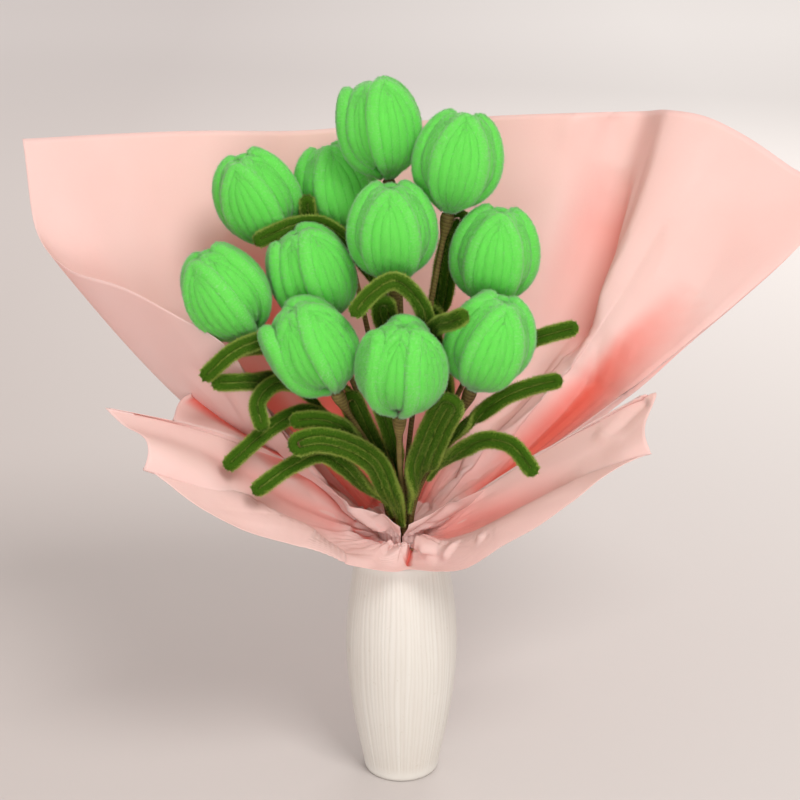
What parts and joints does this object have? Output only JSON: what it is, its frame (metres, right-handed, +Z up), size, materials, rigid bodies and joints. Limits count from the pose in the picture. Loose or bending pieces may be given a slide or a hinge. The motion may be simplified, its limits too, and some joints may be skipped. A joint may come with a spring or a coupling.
{
  "type": "artificial flower bouquet",
  "caption": "Artificial chenille tulips on taped wire stems, fanned out in pale wrapping paper and stood in a slim ribbed vase; each bloom nods on its neck.",
  "frame": {"origin": "middle of the vase's flat base", "axes": "+Z up along the vase, -Y towards the open front of the bouquet, +X to the right seen from the front"},
  "size_m": [0.5344, 0.2247, 0.4796],
  "materials": {
    "vase_ceramic": "satin cream with fine upright ribs",
    "petal_chenille": "soft bright green chenille pile",
    "leaf_chenille": "dark olive chenille pile with lighter edges",
    "stem_tape": "crinkled olive brown floral tape",
    "wrap_paper": "matte pale pink wrapping paper, slightly see-through",
    "tie_twine": "twisted natural twine"
  },
  "bodies": {
    "vase": {"vase": "vase_ceramic"},
    "bouquet": {"stem_01": "stem_tape", "stem_02": "stem_tape", "stem_03": "stem_tape", "stem_04": "stem_tape", "stem_05": "stem_tape", "stem_06": "stem_tape", "stem_07": "stem_tape", "stem_08": "stem_tape", "stem_09": "stem_tape", "stem_10": "stem_tape", "stem_11": "stem_tape", "leaf_right_arch": "leaf_chenille", "leaf_front_broad": "leaf_chenille", "leaf_right_low": "leaf_chenille", "leaf_right_high": "leaf_chenille", "leaf_between_right_blooms": "leaf_chenille", "leaf_back_upright": "leaf_chenille", "leaf_centre_fold": "leaf_chenille", "leaf_centre_dark": "leaf_chenille", "leaf_back_left_low": "leaf_chenille", "leaf_back_left_loop": "leaf_chenille", "leaf_left_high": "leaf_chenille", "leaf_left_dark": "leaf_chenille", "leaf_left_straight": "leaf_chenille", "leaf_left_curl": "leaf_chenille", "leaf_left_droop": "leaf_chenille", "leaf_left_hook": "leaf_chenille", "leaf_left_lowest": "leaf_chenille", "leaf_front_arch": "leaf_chenille", "leaf_inner_left": "leaf_chenille", "leaf_inner_centre": "leaf_chenille", "leaf_inner_right": "leaf_chenille", "back_wrap": "wrap_paper", "front_wrap": "wrap_paper", "stem_tie": "tie_twine"},
    "bloom_01": {"outer_petals_01": "petal_chenille", "inner_petals_01": "petal_chenille"},
    "bloom_02": {"outer_petals_02": "petal_chenille", "inner_petals_02": "petal_chenille"},
    "bloom_03": {"outer_petals_03": "petal_chenille", "inner_petals_03": "petal_chenille"},
    "bloom_04": {"outer_petals_04": "petal_chenille", "inner_petals_04": "petal_chenille"},
    "bloom_05": {"outer_petals_05": "petal_chenille", "inner_petals_05": "petal_chenille"},
    "bloom_06": {"outer_petals_06": "petal_chenille", "inner_petals_06": "petal_chenille"},
    "bloom_07": {"outer_petals_07": "petal_chenille", "inner_petals_07": "petal_chenille"},
    "bloom_08": {"outer_petals_08": "petal_chenille", "inner_petals_08": "petal_chenille"},
    "bloom_09": {"outer_petals_09": "petal_chenille", "inner_petals_09": "petal_chenille"},
    "bloom_10": {"outer_petals_10": "petal_chenille", "inner_petals_10": "petal_chenille"},
    "bloom_11": {"outer_petals_11": "petal_chenille", "inner_petals_11": "petal_chenille"}
  },
  "joints": [
    {"name": "bouquet_lift", "type": "slide", "parent": "vase", "child": "bouquet", "axis": [0, 0, 1], "range_m": [0, 0.16]},
    {"name": "bloom_01_nod", "type": "hinge", "parent": "bouquet", "child": "bloom_01", "pos_m": [-0.0081, 0.0374, 0.4121], "axis": [-0.9659, 0.2588, 0], "range_deg": [0, 15]},
    {"name": "bloom_02_nod", "type": "hinge", "parent": "bouquet", "child": "bloom_02", "pos_m": [0.0295, 0.0117, 0.3961], "axis": [-0.9063, 0.4226, 0], "range_deg": [0, 15]},
    {"name": "bloom_03_nod", "type": "hinge", "parent": "bouquet", "child": "bloom_03", "pos_m": [-0.0799, 0.0488, 0.367], "axis": [-0.5, -0.866, 0], "range_deg": [0, 15]},
    {"name": "bloom_04_nod", "type": "hinge", "parent": "bouquet", "child": "bloom_04", "pos_m": [-0.0362, 0.0654, 0.3634], "axis": [-0.9994, 0.0349, 0], "range_deg": [0, 15]},
    {"name": "bloom_05_nod", "type": "hinge", "parent": "bouquet", "child": "bloom_05", "pos_m": [-0.0047, -0.006, 0.3546], "axis": [0.9659, 0.2588, 0], "range_deg": [0, 15]},
    {"name": "bloom_06_nod", "type": "hinge", "parent": "bouquet", "child": "bloom_06", "pos_m": [0.0554, 0.0006, 0.3368], "axis": [-0.2588, 0.9659, 0], "range_deg": [0, 15]},
    {"name": "bloom_07_nod", "type": "hinge", "parent": "bouquet", "child": "bloom_07", "pos_m": [-0.0464, 0.0022, 0.3254], "axis": [0.766, 0.6428, 0], "range_deg": [0, 6]},
    {"name": "bloom_08_nod", "type": "hinge", "parent": "bouquet", "child": "bloom_08", "pos_m": [-0.0916, -0.0168, 0.3226], "axis": [-0.9397, -0.342, 0], "range_deg": [0, 12]},
    {"name": "bloom_09_nod", "type": "hinge", "parent": "bouquet", "child": "bloom_09", "pos_m": [-0.0403, -0.0447, 0.2944], "axis": [0.9903, -0.1392, 0], "range_deg": [0, 15]},
    {"name": "bloom_10_nod", "type": "hinge", "parent": "bouquet", "child": "bloom_10", "pos_m": [-0.0013, -0.0595, 0.2831], "axis": [1, 0, 0], "range_deg": [0, 15]},
    {"name": "bloom_11_nod", "type": "hinge", "parent": "bouquet", "child": "bloom_11", "pos_m": [0.0435, -0.043, 0.2957], "axis": [0.7071, 0.7071, 0], "range_deg": [0, 15]}
  ]
}
